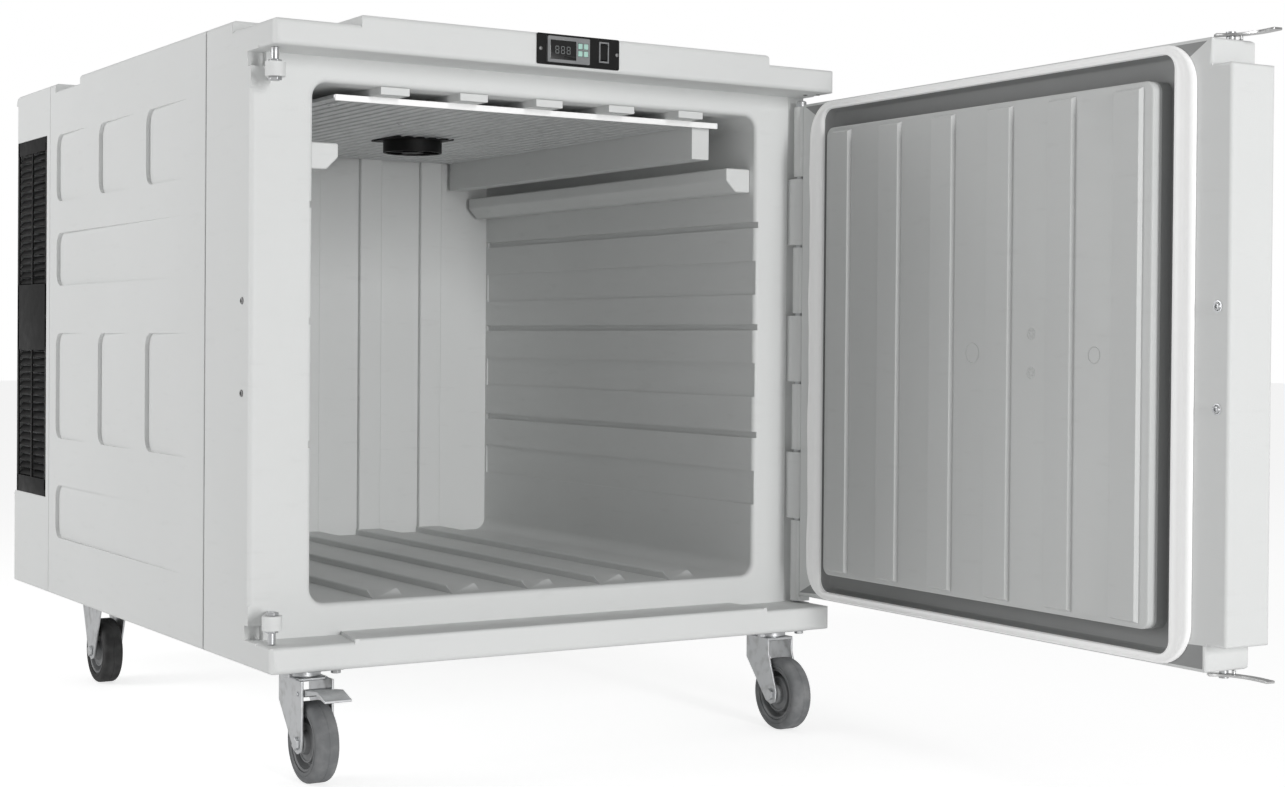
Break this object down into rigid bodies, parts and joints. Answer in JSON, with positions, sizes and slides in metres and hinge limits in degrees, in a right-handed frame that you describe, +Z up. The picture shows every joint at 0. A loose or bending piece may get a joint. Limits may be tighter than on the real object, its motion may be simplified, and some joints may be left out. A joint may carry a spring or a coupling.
{
  "type": "insulated food carrier",
  "caption": "Refrigerated insulated food carrier: moulded box on castors with a hinged ribbed door, latch levers, cabin rails, evaporator plate and a rear cooling compartment.",
  "frame": {"origin": "on the floor, under the middle of the whole with its door open", "axes": "+X to the right facing the door opening, +Y from the door side to the rear, +Z up"},
  "size_m": [1.1088, 2.4006, 1.176],
  "materials": {
    "shell": "matte",
    "liner": "matte",
    "foam": "matte",
    "gasket": "satin",
    "black_plastic": "satin",
    "screen": "gloss",
    "keys": "satin",
    "grey_plastic": "satin",
    "zinc": "satin",
    "stainless": "polished",
    "aluminium": "satin",
    "grey_tyre": "matte",
    "black_tyre": "matte",
    "rim": "satin"
  },
  "bodies": {
    "carrier": {"front_frame": "shell", "outer_shell": "shell", "inner_liner": "liner", "foam_core": "foam", "rear_cover": "shell", "grille_left": "black_plastic", "grille_right": "black_plastic", "power_inlet": "black_plastic", "controller_plate": "black_plastic", "controller_bezel": "grey_plastic", "controller_display": "screen", "switch_bezel": "black_plastic", "keeper_bolt_top": "zinc", "keeper_bolt_bottom": "zinc", "hinge_pin": "zinc", "rail_right": "liner", "rail_left": "liner", "evaporator_plate": "aluminium", "pipe_cover": "liner", "fan_housing": "black_plastic", "castor_front_left_plate": "zinc", "castor_front_right_plate": "zinc", "castor_rear_left_bracket": "zinc", "castor_rear_right_bracket": "zinc", "compressor": "black_plastic", "condenser": "aluminium", "condenser_shroud": "black_plastic", "electrical_box": "grey_plastic", "castor_rear_left_axle": "zinc", "castor_rear_right_axle": "zinc"},
    "door": {"door_shell": "shell", "door_foam": "foam", "door_panel": "liner", "door_gasket": "gasket", "latch_post_top": "zinc", "latch_post_bottom": "zinc"},
    "top_lever": {"latch_lever_top": "stainless"},
    "bottom_lever": {"latch_lever_bottom": "stainless"},
    "button_1": {"key_1": "keys"},
    "button_2": {"key_2": "keys"},
    "button_3": {"key_3": "keys"},
    "button_4": {"key_4": "keys"},
    "power_rocker": {"rocker": "black_plastic"},
    "evaporator_fan": {"fan_impeller": "black_plastic"},
    "condenser_fan": {"condenser_impeller": "black_plastic"},
    "left_fork": {"castor_front_left_fork": "zinc", "castor_front_left_axle": "zinc"},
    "left_wheel": {"castor_front_left_tyre": "grey_tyre", "castor_front_left_rim": "rim"},
    "left_brake": {"castor_front_left_pedal": "zinc"},
    "right_fork": {"castor_front_right_fork": "zinc", "castor_front_right_axle": "zinc"},
    "right_wheel": {"castor_front_right_tyre": "grey_tyre", "castor_front_right_rim": "rim"},
    "rear_left_wheel": {"castor_rear_left_tyre": "black_tyre", "castor_rear_left_rim": "rim"},
    "rear_right_wheel": {"castor_rear_right_tyre": "black_tyre", "castor_rear_right_rim": "rim"}
  },
  "joints": [
    {"name": "door_hinge", "type": "hinge", "parent": "carrier", "child": "door", "pos_m": [0.47863, -0.14701, 0.66], "axis": [0, 0, 1], "range_deg": [-88.4, 90]},
    {"name": "latch_top_turn", "type": "hinge", "parent": "door", "child": "top_lever", "pos_m": [0.50114, -1.12102, 1.111], "axis": [0, 0, 1], "range_deg": [0, 70]},
    {"name": "latch_bottom_turn", "type": "hinge", "parent": "door", "child": "bottom_lever", "pos_m": [0.50114, -1.12102, 0.218], "axis": [0, 0, 1], "range_deg": [0, 70]},
    {"name": "key_1_press", "type": "slide", "parent": "carrier", "child": "button_1", "axis": [0, 1, 0], "range_m": [0, 0.001], "stiffness_N_per_m": 300},
    {"name": "key_2_press", "type": "slide", "parent": "carrier", "child": "button_2", "axis": [0, 1, 0], "range_m": [0, 0.001], "stiffness_N_per_m": 300},
    {"name": "key_3_press", "type": "slide", "parent": "carrier", "child": "button_3", "axis": [0, 1, 0], "range_m": [0, 0.001], "stiffness_N_per_m": 300},
    {"name": "key_4_press", "type": "slide", "parent": "carrier", "child": "button_4", "axis": [0, 1, 0], "range_m": [0, 0.001], "stiffness_N_per_m": 300},
    {"name": "rocker_tilt", "type": "hinge", "parent": "carrier", "child": "power_rocker", "pos_m": [0.01738, -0.22231, 1.152], "axis": [1, 0, 0], "range_deg": [-16, 0]},
    {"name": "evaporator_fan_spin", "type": "hinge", "parent": "carrier", "child": "evaporator_fan", "pos_m": [-0.00437, 0.44629, 1.05], "axis": [0, 0, 1], "continuous": true},
    {"name": "condenser_fan_spin", "type": "hinge", "parent": "carrier", "child": "condenser_fan", "pos_m": [-0.46107, 1.06279, 0.936], "axis": [1, 0, 0], "continuous": true},
    {"name": "castor_left_swivel", "type": "hinge", "parent": "carrier", "child": "left_fork", "pos_m": [-0.47237, -0.15671, 0.155], "axis": [0, 0, 1], "continuous": true},
    {"name": "castor_left_roll", "type": "hinge", "parent": "left_fork", "child": "left_wheel", "pos_m": [-0.47237, -0.19471, 0.0625], "axis": [1, 0, 0], "continuous": true},
    {"name": "castor_left_brake", "type": "hinge", "parent": "left_fork", "child": "left_brake", "pos_m": [-0.47237, -0.19671, 0.138], "axis": [1, 0, 0], "range_deg": [0, 18]},
    {"name": "castor_right_swivel", "type": "hinge", "parent": "carrier", "child": "right_fork", "pos_m": [0.41363, -0.15671, 0.155], "axis": [0, 0, 1], "continuous": true},
    {"name": "castor_right_roll", "type": "hinge", "parent": "right_fork", "child": "right_wheel", "pos_m": [0.41363, -0.19471, 0.0625], "axis": [1, 0, 0], "continuous": true},
    {"name": "rear_left_roll", "type": "hinge", "parent": "carrier", "child": "rear_left_wheel", "pos_m": [-0.46137, 0.87429, 0.0625], "axis": [1, 0, 0], "continuous": true},
    {"name": "rear_right_roll", "type": "hinge", "parent": "carrier", "child": "rear_right_wheel", "pos_m": [0.40263, 0.87429, 0.0625], "axis": [1, 0, 0], "continuous": true}
  ]
}
